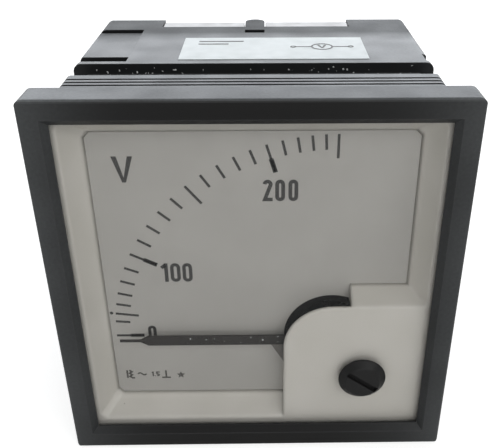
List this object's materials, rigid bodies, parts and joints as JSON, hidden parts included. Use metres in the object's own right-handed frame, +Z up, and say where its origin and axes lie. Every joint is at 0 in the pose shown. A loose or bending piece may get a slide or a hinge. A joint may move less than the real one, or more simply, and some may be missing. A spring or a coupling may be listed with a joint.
{
  "type": "analog panel meter",
  "caption": "Square panel meter with a right-angle dial, a long pointer pivoted in one corner, a ribbed housing with clamp seats, and rear screw terminals.",
  "frame": {"origin": "centre of the plane where the bezel's rear face seats on the panel", "axes": "+Z is up, the dial faces -Y, +Y points back along the body through the panel, and +X is to the viewer's right"},
  "size_m": [0.072, 0.0668, 0.072],
  "materials": {
    "bezel_black": "black moulded plastic, satin, slightly dusty",
    "housing_black": "black moulded plastic, satin",
    "window": "clear flat pane",
    "mask_white": "off-white moulded plastic",
    "dial_white": "matt white lacquered sheet with a black printed scale",
    "cover_grey": "pale grey moulded plastic",
    "label_paper": "plain pale film label",
    "pointer_black": "blackened sheet aluminium",
    "brass": "plain brass",
    "steel": "bright zinc-plated steel",
    "bridge_alloy": "die-cast alloy",
    "enamelled_wire": "enamelled copper wire",
    "resistor_enamel": "vitreous enamel",
    "lead_insulation": "insulated hook-up wire"
  },
  "bodies": {
    "meter": {"bezel": "bezel_black", "window_pane": "window", "dial_surround": "mask_white", "front_housing": "housing_black", "rear_case": "housing_black", "rear_cover": "cover_grey", "rating_label": "label_paper", "dial_plate": "dial_white", "movement_frame": "housing_black", "front_bridge": "bridge_alloy", "bridge_screws": "steel", "front_jewel_screw": "brass", "fixed_vane": "steel", "coil_bobbin": "housing_black", "coil_winding": "enamelled_wire", "bobbin_screws": "steel", "solder_pins": "brass", "screening_can": "steel", "damping_lid": "brass", "damping_cup": "brass", "cup_screws": "steel", "rear_jewel_screw": "brass", "series_resistor": "resistor_enamel", "connecting_leads": "lead_insulation", "terminal_studs": "brass", "solder_lugs": "steel", "terminal_washers": "steel", "terminal_nuts": "brass"},
    "zero_adjuster": {"zero_screw": "bezel_black", "zero_screw_clip": "steel"},
    "zero_arm": {"zero_lever": "brass"},
    "moving_system": {"pointer": "pointer_black", "pointer_hub": "brass", "spindle": "steel", "balance_cross": "bridge_alloy", "balance_weights": "brass", "hair_spring": "brass", "moving_vane": "steel", "damping_disc": "bridge_alloy"}
  },
  "joints": [
    {"name": "zero_screw_turn", "type": "hinge", "parent": "meter", "child": "zero_adjuster", "pos_m": [0.0201, -0.0045, -0.0202], "axis": [0, 1, 0], "range_deg": [-60, 60]},
    {"name": "zero_lever_turn", "type": "hinge", "parent": "meter", "child": "zero_arm", "pos_m": [0.01425, 0.0005, -0.0139], "axis": [0, 1, 0], "range_deg": [-4.5, 4.5]},
    {"name": "pointer_swing", "type": "hinge", "parent": "zero_arm", "child": "moving_system", "pos_m": [0.01425, 0, -0.0139], "axis": [0, 1, 0], "range_deg": [-1, 91], "stiffness_Nm_per_rad": 0.0000032, "deforming": ["hair_spring"]}
  ],
  "couplings": [
    {"joint": "zero_lever_turn", "follows": "zero_screw_turn", "ratio": -0.075}
  ]
}
